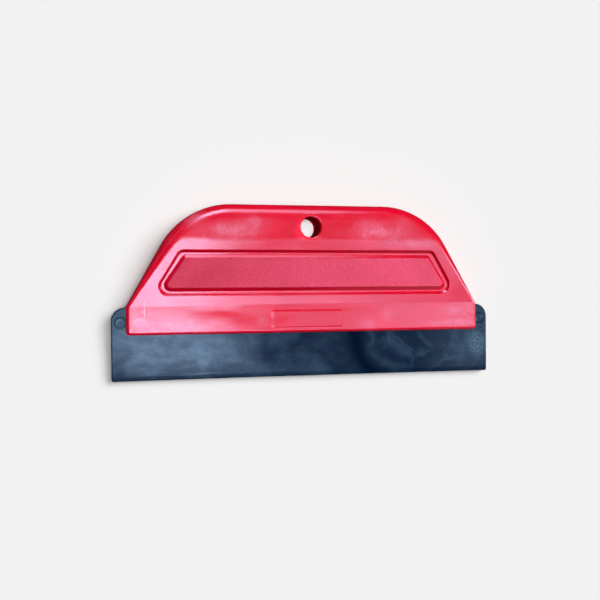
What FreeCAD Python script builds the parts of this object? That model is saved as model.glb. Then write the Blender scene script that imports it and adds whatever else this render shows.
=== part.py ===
import FreeCAD
import Part
import os
import math

# Hand squeegee applicator: a two-shell plastic handle clamping one flexible
# blade. All lengths in millimetres.
#
# Each solid is first drawn in the tool's own frame, x along the blade, y from
# the handle's lower edge towards its top, z out of the front face, z = 0 on
# the parting plane. The finished solids are then laid on their back, as the
# tool rests on a bench: on the rear grip and the rear lower edge.

# ---------------------------------------------------------------- dimensions
BLADE_LEN = 200.0          # blade, end to end
BLADE_T = 3.0              # blade thickness
BLADE_TOP = 13.75          # top edge of the blade, inside the handle
BLADE_EDGE = -22.6         # working edge
BLADE_TOP_R = 6.4          # upper corners
BLADE_EDGE_R = 1.0         # lower corners
BLADE_TAPER_H = 2.3        # height of the slightly thinned working edge
BLADE_TAPER = 0.35         # thinning on each face at the working edge
FLEX_Y = -3.0              # line about which the free part bends
FLEX_GAP = 0.06            # clearance round the bend line
FLEX_RELIEF = 0.9          # height of the fixed part's end above the bend line
RING_X, RING_Y = 95.6, 6.2 # moulded ring on each exposed end of the blade
RING_R, RING_W, RING_H = 2.6, 0.55, 0.15

HALF_W = 93.0              # handle half width at the clamp section
CLAMP_H = 14.6             # height of the parallel-sided clamp section
KNEE_Y = 14.05             # height where the slanted sides start
TOP_Y = 65.65              # top of the handle
SLANT = 0.567              # run of the slanted side per unit of height
CORNER_R = 40.5            # large upper corners
LOW_R = 2.0                # lower corners
KNEE_R = 1.5               # where the slant meets the upright end
SIDE_UP = 3.6              # half height of the upright part of the side walls
SIDE_SHOULDER = 0.925      # run of the shoulder above it per unit of height
SIDE_SOFT = 0.6            # softness of the turn between the two
SIDE_DRAFT = 0.012         # draft of the upright part
SIDE_BULGE = 0.5           # how far the shoulder swells outwards of a straight slope
T_LOW = 4.5                # half thickness of the clamp section
T_TOP = 8.0                # half thickness of the grip
GRIP_Y = 47.7              # height where the grip reaches its full thickness

WALL = 2.4                 # shell wall
FLOOR_Y = 16.4             # bottom of the hollow, above the blade slot
SLOT_TOP = BLADE_TOP + 0.15

GROOVE_DEPTH = 1.1
GROOVE_OUT = ((67.0, 42.3), (81.1, 19.4))     # half width, height: top and bottom corners
GROOVE_IN = ((64.0, 38.1), (74.1, 23.4))
GROOVE_OUT_R = (4.0, 5.0)
GROOVE_IN_R = (1.0, 1.6)

HOLE_Y = 54.0              # hanging hole
HOLE_R = 5.25
HOLE_RIM = 0.9             # chamfer at each mouth
TUBE_R = 7.6               # wall of the hanging hole inside the hollow

SCREWS = [(84.5, 18.5), (-84.5, 18.5), (45.0, 54.0), (-45.0, 54.0)]
SCREW_SEAT = -2.6          # underside of the screw heads
SCREW_LEN = 6.0
SCREW_R = 1.45
SCREW_PILOT_R = 1.25
SCREW_CLEAR_R = 1.7
SCREW_HEAD_R, SCREW_HEAD_H = 2.7, 1.8
CBORE_R = 3.0
BOSS_R = 3.9
BOSS_JOIN = -1.0           # plane where the front and rear bosses meet

PEGS = [(-86.0, 5.0), (-43.0, 5.0), (0.0, 5.0), (43.0, 5.0), (86.0, 5.0)]
PEG_R = 1.8
PEG_SOCKET_R = 1.86
PEG_END = -3.3
BLADE_HOLE_R = 2.0

LIP_T, LIP_H, LIP_GAP = 1.0, 1.2, 0.2         # locating lip round the hollow
RIB_X = [-62.0, -22.0, 22.0, 62.0]
RIB_T = 1.4
PAD = (-1.4, 7.3, 37.0, 8.4, 0.25)            # blank raised pad: x, y, width, height, rise

V = FreeCAD.Vector
os.makedirs("parts", exist_ok=True)


# ------------------------------------------------------------------- helpers
def rounded(points, radii, z=0.0):
    """Closed wire through a convex polygon with a tangent arc at each corner."""
    n = len(points)
    cuts = []
    for i in range(n):
        p = V(points[i][0], points[i][1], z)
        a = V(points[i - 1][0], points[i - 1][1], z) - p
        b = V(points[(i + 1) % n][0], points[(i + 1) % n][1], z) - p
        a.normalize()
        b.normalize()
        half = math.acos(max(-1.0, min(1.0, a.dot(b)))) / 2.0
        r = radii[i]
        run = r / math.tan(half)
        start, end = p + a * run, p + b * run
        mid_dir = a + b
        mid_dir.normalize()
        mid = p + mid_dir * (r / math.sin(half) - r)
        cuts.append((start, mid, end))
    edges = []
    for i in range(n):
        start, mid, end = cuts[i]
        edges.append(Part.Arc(start, mid, end).toShape())
        nxt = cuts[(i + 1) % n][0]
        edges.append(Part.LineSegment(end, nxt).toShape())
    return Part.Wire(edges)


def line_hit(p, d, q, e):
    t = ((q[0] - p[0]) * e[1] - (q[1] - p[1]) * e[0]) / (d[0] * e[1] - d[1] * e[0])
    return (p[0] + d[0] * t, p[1] + d[1] * t)


def handle_wire(inset, z, floor=None):
    """Plan outline of the handle, moved in by inset. floor replaces the lower edge."""
    k = math.sqrt(1.0 + SLANT * SLANT)
    low = inset if floor is None else floor
    x = HALF_W - inset
    top = TOP_Y - inset
    # a point on the slanted side, moved inwards along its normal
    s = (HALF_W - inset / k, KNEE_Y - inset * SLANT / k)
    d = (-SLANT, 1.0)
    knee = line_hit(s, d, (x, 0.0), (0.0, 1.0))
    peak = line_hit(s, d, (0.0, top), (1.0, 0.0))
    r_top = CORNER_R - inset
    if low < knee[1] - 1.0:
        pts = [(-x, low), (x, low), knee, peak, (-peak[0], peak[1]), (-knee[0], knee[1])]
        rad = [LOW_R, LOW_R, KNEE_R, r_top, r_top, KNEE_R]
    else:
        corner = line_hit(s, d, (0.0, low), (1.0, 0.0))
        pts = [(-corner[0], low), corner, peak, (-peak[0], peak[1])]
        rad = [LOW_R, LOW_R, r_top, r_top]
    return rounded(pts, rad, z)


def side_inset(z):
    """How far the side wall has come in at height z above the parting plane."""
    h, w = SIDE_SHOULDER / 2.0, SIDE_SOFT
    turn = h * ((z - SIDE_UP) + math.hypot(z - SIDE_UP, w)) - h * (math.hypot(SIDE_UP, w) - SIDE_UP)
    t = max(0.0, (z - SIDE_UP) / (T_TOP - SIDE_UP))
    return SIDE_DRAFT * z + turn - SIDE_BULGE * 4.0 * t * (1.0 - t)


def face_z(y, drop=0.0):
    if y <= CLAMP_H:
        return T_LOW - drop
    if y >= GRIP_Y:
        return T_TOP - drop
    return T_LOW + (T_TOP - T_LOW) * (y - CLAMP_H) / (GRIP_Y - CLAMP_H) - drop


def under_face(drop, y0=-10.0, z0=0.0):
    """Everything from z0 up to the face, lowered by drop, as a prism along x."""
    ys = [y0] + [y for y in (CLAMP_H, GRIP_Y) if y > y0] + [90.0]
    pts = [V(-120, y0, z0)] + [V(-120, y, face_z(y, drop)) for y in ys] + [V(-120, 90.0, z0)]
    pts.append(pts[0])
    return Part.Face(Part.makePolygon(pts)).extrude(V(240, 0, 0))


def cyl(x, y, r, z0, z1):
    return Part.makeCylinder(r, z1 - z0, V(x, y, z0))


def box(x0, x1, y0, y1, z0, z1):
    return Part.makeBox(x1 - x0, y1 - y0, z1 - z0, V(x0, y0, z0))


def prism(wire, z0, z1):
    w = wire.copy()
    w.translate(V(0, 0, z0 - w.BoundBox.ZMin))
    return Part.Face(w).extrude(V(0, 0, z1 - z0))


def ruled(wires):
    return Part.makeLoft(wires, True, True)


def trapezoid(corners, radii, z=0.0):
    (xt, yt), (xb, yb) = corners
    return rounded([(-xb, yb), (xb, yb), (xt, yt), (-xt, yt)],
                   [radii[1], radii[1], radii[0], radii[0]], z)


# --------------------------------------------------------------- half handle
LEVELS = [0.0, 2.2, 3.1, 3.8, T_LOW, 5.2, 6.0, 6.8, 7.4, 8.05]


def outer_half():
    body = ruled([handle_wire(side_inset(z), z) for z in LEVELS])
    return body.common(under_face(0.0))


def hollow_half():
    levels = [0.0, 2.9, 3.8, 5.8]
    body = ruled([handle_wire(side_inset(z) + WALL, z, FLOOR_Y) for z in levels])
    return body.common(under_face(WALL, FLOOR_Y - 1.0))


def groove_cut():
    ring = prism(trapezoid(GROOVE_OUT, GROOVE_OUT_R), 0.0, 12.0).cut(
        prism(trapezoid(GROOVE_IN, GROOVE_IN_R), -1.0, 13.0))
    return ring.cut(under_face(GROOVE_DEPTH, -10.0, -5.0))


def shell_base():
    """The half that both shells share, drawn as the front one."""
    outer = outer_half()
    hollow = hollow_half()
    body = outer.cut(hollow)
    tube = cyl(0, HOLE_Y, TUBE_R, 0.0, T_TOP - 1.0)
    ribs = None
    for x in RIB_X:
        r = box(x - RIB_T / 2, x + RIB_T / 2, FLOOR_Y - 0.5, TOP_Y, LIP_H + 0.5, T_TOP)
        ribs = r if ribs is None else ribs.fuse(r)
    ribs = ribs.common(hollow)
    body = body.fuse([ribs, tube])
    body = body.cut(box(-120, 120, -5, SLOT_TOP, -1.0, BLADE_T / 2))
    body = body.cut(groove_cut())
    return body, hollow, outer


def through_hole(body):
    body = body.cut(cyl(0, HOLE_Y, HOLE_R, -1.0, T_TOP + 1.0))
    rim = Part.makeCone(HOLE_R, HOLE_R + HOLE_RIM + 0.3, HOLE_RIM + 0.3, V(0, HOLE_Y, T_TOP - HOLE_RIM))
    return body.cut(rim)


def front_shell():
    body, hollow, outer = shell_base()
    # bosses reach down past the parting plane to meet the rear ones
    for x, y in SCREWS:
        upper = cyl(x, y, BOSS_R, 0.0, T_TOP).common(outer)
        lower = cyl(x, y, BOSS_R - 0.9, BOSS_JOIN + 0.05, 0.05)
        body = body.fuse([upper, lower])
    for x, y in PEGS:
        body = body.fuse(cyl(x, y, PEG_R, PEG_END, BLADE_T / 2 + 0.5))
    outer_ring = prism(handle_wire(WALL - 0.2, 0.0, FLOOR_Y - 0.2), 0.0, 1.0)
    low_ring = prism(handle_wire(WALL + LIP_GAP, 0.0, FLOOR_Y + LIP_GAP), -LIP_H, 0.05)
    inner = prism(handle_wire(WALL + LIP_GAP + LIP_T, 0.0, FLOOR_Y + LIP_GAP + LIP_T), -5.0, 5.0)
    lip = outer_ring.fuse(low_ring).cut(inner)
    for x, y in SCREWS:
        lip = lip.cut(cyl(x, y, BOSS_R + 0.3, -5.0, 0.0))
    body = body.fuse(lip)
    # blank raised pad low on the face
    px, py, pw, ph, rise = PAD
    pad = prism(rounded([(px - pw / 2, py - ph / 2), (px + pw / 2, py - ph / 2),
                         (px + pw / 2, py + ph / 2), (px - pw / 2, py + ph / 2)],
                        [1.2] * 4), T_LOW - 0.2, T_LOW + rise)
    body = body.fuse(pad)
    for x, y in SCREWS:
        body = body.cut(cyl(x, y, SCREW_PILOT_R, BOSS_JOIN - 1.0, SCREW_SEAT + SCREW_LEN + 0.2))
    return through_hole(body).removeSplitter()


def rear_shell():
    body, hollow, outer = shell_base()
    # drawn as a front half; mirrored at the end, so depths below are positive
    for x, y in SCREWS:
        body = body.fuse(cyl(x, y, BOSS_R, 0.0, T_TOP).common(outer))
        body = body.cut(cyl(x, y, BOSS_R + 0.15, -1.0, -BOSS_JOIN))
        body = body.cut(cyl(x, y, SCREW_CLEAR_R, -1.0, T_TOP + 1.0))
        body = body.cut(cyl(x, y, CBORE_R, -SCREW_SEAT, T_TOP + 1.0))
    for x, y in PEGS:
        body = body.cut(cyl(x, y, PEG_SOCKET_R, 0.0, -PEG_END + 0.15))
    body = through_hole(body).removeSplitter()
    return body.mirror(V(0, 0, 0), V(0, 0, 1))


def blade_outline(y_low, y_high, r_low, r_high):
    h = BLADE_LEN / 2
    return rounded([(-h, y_low), (h, y_low), (h, y_high), (-h, y_high)],
                   [r_low, r_low, r_high, r_high])


def blade_whole():
    b = prism(blade_outline(BLADE_EDGE, BLADE_TOP, BLADE_EDGE_R, BLADE_TOP_R),
              -BLADE_T / 2, BLADE_T / 2)
    # slightly thinned working edge on both faces
    for s in (1, -1):
        z0 = s * BLADE_T / 2
        pts = [V(-120, BLADE_EDGE - 1.0, z0 - s * BLADE_TAPER * (1 + 1.0 / BLADE_TAPER_H)),
               V(-120, BLADE_EDGE + BLADE_TAPER_H, z0),
               V(-120, BLADE_EDGE - 1.0, z0)]
        pts.append(pts[0])
        b = b.cut(Part.Face(Part.makePolygon(pts)).extrude(V(240, 0, 0)))
    return b


def blade_root():
    b = blade_whole().common(box(-120, 120, FLEX_Y + FLEX_RELIEF, 40, -5, 5))
    seat = Part.makeCylinder(BLADE_T / 2 + FLEX_GAP, 240, V(-120, FLEX_Y, 0), V(1, 0, 0))
    b = b.cut(seat)
    for x, y in PEGS:
        b = b.cut(cyl(x, y, BLADE_HOLE_R, -5, 5))
    for s in (1, -1):
        for z0, z1 in ((BLADE_T / 2 - 0.2, BLADE_T / 2 + RING_H), (-BLADE_T / 2 - RING_H, -BLADE_T / 2 + 0.2)):
            ring = cyl(s * RING_X, RING_Y, RING_R, z0, z1).cut(
                cyl(s * RING_X, RING_Y, RING_R - RING_W, z0 - 1, z1 + 1))
            # the part of the ring under the handle's end is not raised
            ring = ring.cut(box(-HALF_W - 0.1, HALF_W + 0.1, -20, 40, -5, 5))
            b = b.fuse(ring)
    return b.removeSplitter()


def blade_lip():
    b = blade_whole().common(box(-120, 120, -60, FLEX_Y, -5, 5))
    knuckle = Part.makeCylinder(BLADE_T / 2, BLADE_LEN, V(-BLADE_LEN / 2, FLEX_Y, 0), V(1, 0, 0))
    return b.fuse(knuckle).removeSplitter()


def screw(x, y):
    tip = 1.2
    shank = cyl(x, y, SCREW_R, SCREW_SEAT - 0.2, SCREW_SEAT + SCREW_LEN - tip)
    point = Part.makeCone(SCREW_R, 0.5, tip, V(x, y, SCREW_SEAT + SCREW_LEN - tip))
    head = cyl(x, y, SCREW_HEAD_R, SCREW_SEAT - SCREW_HEAD_H, SCREW_SEAT)
    s = shank.fuse([point, head])
    # cross recess
    z0, z1 = SCREW_SEAT - SCREW_HEAD_H - 1.0, SCREW_SEAT - SCREW_HEAD_H + 1.0
    for w, h in ((2.6, 0.6), (0.6, 2.6)):
        s = s.cut(box(x - w / 2, x + w / 2, y - h / 2, y + h / 2, z0, z1))
    return s.removeSplitter()


# ------------------------------------------------------- lay it on its back
CREASE_Y = side_inset(T_LOW)
TILT = math.atan2(T_TOP - T_LOW, GRIP_Y - CREASE_Y)
LIFT = T_LOW * math.cos(TILT) - CREASE_Y * math.sin(TILT)
EDGE_HALF_T = BLADE_T / 2 - BLADE_TAPER
Y_MIN = min(BLADE_EDGE * math.cos(TILT) - EDGE_HALF_T * math.sin(TILT),
            (BLADE_EDGE + BLADE_TAPER_H) * math.cos(TILT) - BLADE_T / 2 * math.sin(TILT))
Y_MAX = max((TOP_Y - side_inset(z)) * math.cos(TILT) + z * math.sin(TILT) for z in LEVELS)
SHIFT_Y = -(Y_MIN + Y_MAX) / 2.0


def lay_down(shape):
    s = shape.copy()
    s.rotate(V(0, 0, 0), V(1, 0, 0), math.degrees(TILT))
    s.translate(V(0, SHIFT_Y, LIFT))
    return s


def place(y, z):
    """A tool-frame point (0, y, z) in the laid-down frame."""
    return (y * math.cos(TILT) - z * math.sin(TILT) + SHIFT_Y,
            y * math.sin(TILT) + z * math.cos(TILT) + LIFT)


NODES = {
    "front_shell": front_shell(),
    "rear_shell": rear_shell(),
    "blade_root": blade_root(),
    "blade_lip": blade_lip(),
    "shell_screws": Part.makeCompound([screw(x, y) for x, y in SCREWS]),
}

whole = []
for name, shape in NODES.items():
    laid = lay_down(shape)
    laid.exportStep("parts/%s.step" % name)
    whole.append(laid)
    bb = laid.optimalBoundingBox(True, False)
    print(name, "solids", len(laid.Solids), "valid", laid.isValid(),
          "volume %.1f" % laid.Volume,
          "box %.2f %.2f %.2f .. %.2f %.2f %.2f" % (bb.XMin, bb.YMin, bb.ZMin, bb.XMax, bb.YMax, bb.ZMax))
bb = Part.makeCompound(whole).optimalBoundingBox(True, False)
print("whole box %.3f %.3f %.3f .. %.3f %.3f %.3f" % (bb.XMin, bb.YMin, bb.ZMin, bb.XMax, bb.YMax, bb.ZMax))
print("tilt %.4f deg, lift %.4f, shift y %.4f" % (math.degrees(TILT), LIFT, SHIFT_Y))
print("flex axis y z %.4f %.4f" % place(FLEX_Y, 0.0))
print("hole centre y z %.4f %.4f" % place(HOLE_Y, 0.0))
print("hole axis 0 %.5f %.5f, wall length %.3f" % (-math.sin(TILT), math.cos(TILT), 2 * (T_TOP - HOLE_RIM)))
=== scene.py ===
import bpy, math
import numpy as np
from mathutils import Matrix, Vector


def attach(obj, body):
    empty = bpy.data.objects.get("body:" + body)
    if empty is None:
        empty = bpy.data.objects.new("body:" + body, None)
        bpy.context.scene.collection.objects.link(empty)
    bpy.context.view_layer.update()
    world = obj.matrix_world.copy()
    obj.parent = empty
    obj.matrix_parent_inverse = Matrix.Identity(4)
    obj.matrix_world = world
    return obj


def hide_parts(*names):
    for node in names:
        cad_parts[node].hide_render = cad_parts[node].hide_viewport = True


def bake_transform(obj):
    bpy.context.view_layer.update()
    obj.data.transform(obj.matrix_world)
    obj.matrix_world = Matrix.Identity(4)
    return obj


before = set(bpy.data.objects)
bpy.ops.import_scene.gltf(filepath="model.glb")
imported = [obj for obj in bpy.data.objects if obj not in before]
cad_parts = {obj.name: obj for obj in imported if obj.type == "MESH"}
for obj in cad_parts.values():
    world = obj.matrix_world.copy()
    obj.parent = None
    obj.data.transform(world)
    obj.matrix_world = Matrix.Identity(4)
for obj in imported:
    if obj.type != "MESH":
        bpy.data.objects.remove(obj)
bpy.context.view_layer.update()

# ------------------------------------------------------------- dimensions, mm
# The tool's own frame: x along the blade, y up the handle from its lower edge,
# z out of the front face, z = 0 on the parting plane.
HALF_W, CLAMP_H, KNEE_Y, TOP_Y, SLANT = 93.0, 14.6, 14.05, 65.65, 0.567
CORNER_R, LOW_R, KNEE_R = 40.5, 2.0, 1.5
SIDE_UP, SIDE_SHOULDER, SIDE_SOFT, SIDE_DRAFT, SIDE_BULGE = 3.6, 0.925, 0.6, 0.012, 0.5
T_LOW, T_TOP, GRIP_Y = 4.5, 8.0, 47.7
BLADE_HALF, BLADE_T, BLADE_TOP, BLADE_EDGE = 100.0, 3.0, 13.75, -22.6
SLOT_TOP = 13.9
HOLE_Y, HOLE_R, HOLE_RIM = 54.0, 5.25, 0.95
GROOVE_DEPTH = 1.1
SCREWS = [(84.5, 18.5), (-84.5, 18.5), (45.0, 54.0), (-45.0, 54.0)]
CBORE_R, SCREW_SEAT = 3.0, -2.6
FLEX_Y = -3.0



def side_inset(z):
    """How far the side wall has come in at height z above the parting plane."""
    h, w = SIDE_SHOULDER / 2.0, SIDE_SOFT
    turn = h * ((z - SIDE_UP) + np.hypot(z - SIDE_UP, w)) - h * (math.hypot(SIDE_UP, w) - SIDE_UP)
    t = np.maximum(0.0, (z - SIDE_UP) / (T_TOP - SIDE_UP))
    return SIDE_DRAFT * z + turn - SIDE_BULGE * 4.0 * t * (1.0 - t)


# the tool lies on its rear grip and its rear lower edge
CREASE_Y = float(side_inset(T_LOW))
TILT = math.atan2(T_TOP - T_LOW, GRIP_Y - CREASE_Y)
LIFT = T_LOW * math.cos(TILT) - CREASE_Y * math.sin(TILT)
SHIFT_Y = -21.4746


def to_world(p):
    """Tool-frame points in mm to the row frame in metres."""
    p = np.asarray(p, float)
    c, s = math.cos(TILT), math.sin(TILT)
    q = np.empty_like(p)
    q[..., 0] = p[..., 0]
    q[..., 1] = p[..., 1] * c - p[..., 2] * s + SHIFT_Y
    q[..., 2] = p[..., 1] * s + p[..., 2] * c + LIFT
    return q / 1000.0


def dir_world(v):
    c, s = math.cos(TILT), math.sin(TILT)
    return Vector((v[0], v[1] * c - v[2] * s, v[1] * s + v[2] * c))


# ------------------------------------------------------------ plan geometry
class Rounded:
    """A convex polygon with a tangent arc at each corner: signed distance, positive inside."""

    def __init__(self, pts, radii):
        self.p = np.array(pts, float)
        self.r = np.array(radii, float)
        n = len(pts)
        self.u = np.array([(self.p[(i + 1) % n] - self.p[i]) for i in range(n)])
        self.u /= np.linalg.norm(self.u, axis=1)[:, None]
        self.nin = np.stack([-self.u[:, 1], self.u[:, 0]], 1)  # inward for anticlockwise
        self.c = []
        for i in range(n):
            n1, n2 = self.nin[i - 1], self.nin[i]
            a = np.array([n1, n2])
            b = np.array([n1 @ self.p[i] + self.r[i], n2 @ self.p[i] + self.r[i]])
            self.c.append(np.linalg.solve(a, b))
        self.c = np.array(self.c)

    def sd(self, x, y):
        d = None
        for i in range(len(self.p)):
            di = (x - self.p[i, 0]) * self.nin[i, 0] + (y - self.p[i, 1]) * self.nin[i, 1]
            d = di if d is None else np.minimum(d, di)
        for i in range(len(self.p)):
            dx, dy = x - self.c[i, 0], y - self.c[i, 1]
            u1, u2 = self.u[i - 1], self.u[i]
            inside = (dx * u1[0] + dy * u1[1] > 0) & (dx * u2[0] + dy * u2[1] < 0)
            d = np.where(inside, self.r[i] - np.hypot(dx, dy), d)
        return d


PEAK_X = HALF_W - SLANT * (TOP_Y - KNEE_Y)
OUTLINE = Rounded([(-HALF_W, 0), (HALF_W, 0), (HALF_W, KNEE_Y), (PEAK_X, TOP_Y), (-PEAK_X, TOP_Y), (-HALF_W, KNEE_Y)],
                  [LOW_R, LOW_R, KNEE_R, CORNER_R, CORNER_R, KNEE_R])
GROOVE = Rounded([(-81.1, 19.4), (81.1, 19.4), (67.0, 42.3), (-67.0, 42.3)], [5.0, 5.0, 4.0, 4.0])
ISLAND = Rounded([(-74.1, 23.4), (74.1, 23.4), (64.0, 38.1), (-64.0, 38.1)], [1.6, 1.6, 1.0, 1.0])
PAD = Rounded([(-1.4 - 18.5, 7.3 - 4.2), (-1.4 + 18.5, 7.3 - 4.2), (-1.4 + 18.5, 7.3 + 4.2), (-1.4 - 18.5, 7.3 + 4.2)], [1.2] * 4)
BLADE = Rounded([(-BLADE_HALF, BLADE_EDGE), (BLADE_HALF, BLADE_EDGE), (BLADE_HALF, BLADE_TOP), (-BLADE_HALF, BLADE_TOP)],
                [1.0, 1.0, 6.4, 6.4])


def smooth(t):
    t = np.clip(t, 0, 1)
    return t * t * (3 - 2 * t)


def smin(a, b, k):
    h = np.clip(0.5 + 0.5 * (b - a) / k, 0, 1)
    return b * (1 - h) + a * h - k * h * (1 - h)


def softplus_ramp(y, y0, w):
    """0 below y0, y - y0 above it, with a parabola of half width w between."""
    t = y - y0
    return np.where(t <= -w, 0.0, np.where(t >= w, t, (t + w) ** 2 / (4 * w)))


def face_height(x, y, front):
    k = (T_TOP - T_LOW) / (GRIP_Y - CLAMP_H)
    z = T_LOW + k * softplus_ramp(y, CLAMP_H, 0.7) - k * softplus_ramp(y, GRIP_Y, 1.6)
    # the faint waves of a thick-and-thin moulding
    s = 1.0 if front else -1.0
    z = z + 0.018 * np.sin(x * 0.085 * s + 1.3 + 0.035 * y) * np.sin(y * 0.11 + 0.4)
    z = z + 0.012 * np.sin(x * 0.19 + 0.5 * s + 0.06 * y) * np.sin(y * 0.21 + 1.1)
    z = z + 0.006 * np.sin(x * 0.43 * s + 0.2 * y) * np.cos(y * 0.37 + x * 0.05)
    return z


# x, y, half widths, depth
SINKS = [(-43.0, 53.0, 8.0, 5.0, 0.13), (42.0, 53.5, 6.0, 5.0, 0.16), (-84.0, 18.0, 5.0, 4.0, 0.05), (84.0, 18.0, 5.0, 4.0, 0.05),
         (-20.0, 56.0, 7.0, 5.0, 0.10), (58.0, 49.0, 8.0, 3.5, 0.08), (-45.0, 12.2, 13.0, 3.0, 0.16), (-22.0, 8.5, 12.0, 3.2, 0.15),
         (-60.0, 46.5, 9.0, 2.5, 0.05), (22.0, 13.0, 16.0, 2.6, 0.05), (45.0, 6.0, 6.0, 3.0, 0.06), (72.0, 9.0, 5.0, 4.0, 0.06)]
# the side wall through the moulding's own levels, with the turns between them blended
STEP_Z = 0.0025
WALL_Z = np.array([0.0, 2.2, 3.1, 3.8, T_LOW, 5.2, 6.0, 6.8, 7.4, 8.05, 9.0, 10.0, 12.0, 16.0])
SIDE_Z = np.arange(-1.2, 15.0, STEP_Z)
SIDE_D = np.interp(SIDE_Z, WALL_Z, side_inset(WALL_Z)) + np.minimum(SIDE_Z, 0.0) * 0.027
for _ in range(2):
    SIDE_D = np.convolve(SIDE_D, np.ones(241) / 241, "same")
SIDE_D, SIDE_Z = SIDE_D[480:-400], SIDE_Z[480:-400]
SIDE_Z = SIDE_Z - SIDE_Z[0]
SIDE_D = SIDE_D - SIDE_D[0]


def shell_height(x, y, front):
    d = OUTLINE.sd(x, y)
    side = np.interp(d, SIDE_D, SIDE_Z)
    face = face_height(x, y, front)
    # groove round the thumb panel: two sloped walls and a narrow floor
    a, b = GROOVE.sd(x, y), -ISLAND.sd(x, y)
    g = smin(smin(a * 0.84, b * 0.66, 0.05), GROOVE_DEPTH, 0.16)
    face = face - 0.5 * (g + np.sqrt(g * g + 0.0035)) + 0.002
    # panel, a hair below the face
    face = face - 0.07 * smooth((-b - 0.35) / 0.35)
    # shallow sinks over the end pegs, the inner bosses and the thick lower section
    for sx, rr, dep in ((-86.0, 3.9, 0.045), (86.0, 5.2, 0.055)):
        r = np.hypot(x - sx, y - 4.6)
        face = face - dep * smooth((rr - r) / 2.2 + 0.4)
        face = face + 0.010 * np.exp(-((r - rr - 0.3) / 0.7) ** 2)
    for sx, sy, wx, wy, dep in SINKS if front else SINKS[:4]:
        face = face - dep * np.exp(-((x - sx) / wx) ** 2 - ((y - sy) / wy) ** 2)
    if front:
        face = face + 0.22 * smooth(PAD.sd(x, y) / 1.1 + 0.5)
        face = face + 0.10 * np.exp(-(np.hypot(x + 3.4, y - 12.8) / 0.55) ** 2)
    z = smin(side, face, 1.55 + 1.05 * smooth((y - 49.0) / 7.0))
    # rounded mouth of the hanging hole
    r = np.hypot(x, y - HOLE_Y) - HOLE_R
    t = np.clip(r, 0, HOLE_RIM)
    z = z - np.where(r < HOLE_RIM, HOLE_RIM - np.sqrt(np.maximum(HOLE_RIM ** 2 - (HOLE_RIM - t) ** 2, 0)), 0.0)
    # a very low collar round the mouth
    z = z + 0.05 * np.exp(-((r - HOLE_RIM - 0.5) / 0.7) ** 2)
    if not front:
        for sx, sy in SCREWS:
            r = np.hypot(x - sx, y - sy) - CBORE_R
            t = np.clip(r, 0, 0.3)
            z = z - np.where(r < 0.3, 0.3 - np.sqrt(np.maximum(0.09 - (0.3 - t) ** 2, 0)), 0.0)
    return z


# ------------------------------------------------------------- mesh builders
class Mesh:
    def __init__(self):
        self.v, self.f, self.n = [], [], 0

    def add(self, pts):
        pts = np.asarray(pts, float).reshape(-1, 3)
        i = self.n
        self.v.append(pts)
        self.n += len(pts)
        return np.arange(i, self.n)

    def quads(self, a, b, c, d):
        self.f.append(np.stack([a, b, c, d], -1).reshape(-1, 4))

    def tris(self, t):
        t = np.asarray(t, int).reshape(-1, 3)
        self.f.append(np.concatenate([t, np.full((len(t), 1), -1)], 1))

    def build(self, name, flip=False, normals=None):
        v = np.concatenate(self.v)
        nrm = normals(v) if normals else None
        v = to_world(v)
        f = np.concatenate(self.f)
        used = np.unique(f[f >= 0])
        remap = np.full(len(v), -1)
        remap[used] = np.arange(len(used))
        v = v[used]
        if nrm is not None:
            nrm = nrm[used]
        tri = f[:, 3] < 0
        faces = [tuple(x) for x in remap[f[~tri]].tolist()] + [tuple(x) for x in remap[f[tri, :3]].tolist()]
        if flip:
            faces = [t[::-1] for t in faces]
        me = bpy.data.meshes.new(name)
        me.from_pydata(v.tolist(), [], faces)
        me.validate()
        me.polygons.foreach_set("use_smooth", np.ones(len(me.polygons), bool))
        me.update()
        if nrm is not None and len(me.vertices) == len(nrm):
            me.normals_split_custom_set_from_vertices(nrm.tolist())
        ob = bpy.data.objects.new(name, me)
        bpy.context.scene.collection.objects.link(ob)
        return ob


def zipper(outer, oa, inner, ia):
    """Triangles between two loops round one centre, both sorted by angle."""
    tri = []
    i = j = 0
    no, ni = len(outer), len(inner)
    oa2, ia2 = np.append(oa, oa[0] + 2 * math.pi), np.append(ia, ia[0] + 2 * math.pi)
    while i < no or j < ni:
        if j >= ni or (i < no and oa2[i + 1] < ia2[j + 1]):
            tri.append((outer[i % no], outer[(i + 1) % no], inner[j % ni]))
            i += 1
        else:
            tri.append((inner[(j + 1) % ni], inner[j % ni], outer[i % no]))
            j += 1
    return tri


def y_range(x):
    """Lower and upper edge of the handle's outline at x."""
    ax = abs(x)
    lo = 0.0 if ax < HALF_W - LOW_R else LOW_R - math.sqrt(max(LOW_R ** 2 - (ax - (HALF_W - LOW_R)) ** 2, 0))
    a, b = lo, TOP_Y + 1.0
    # the outline is crossed once going up from the middle
    a = CLAMP_H * 0.5
    for _ in range(60):
        m = (a + b) / 2
        if OUTLINE.sd(np.array(ax - 1e-9), np.array(m)) > 0:
            a = m
        else:
            b = m
    return lo, a


def levels(z_top, n):
    """Insets from the outline that cut the side wall into even steps of height."""
    d = np.interp(np.linspace(0, z_top, n), SIDE_Z, SIDE_D)
    d[0] = 0.0
    return d


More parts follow.
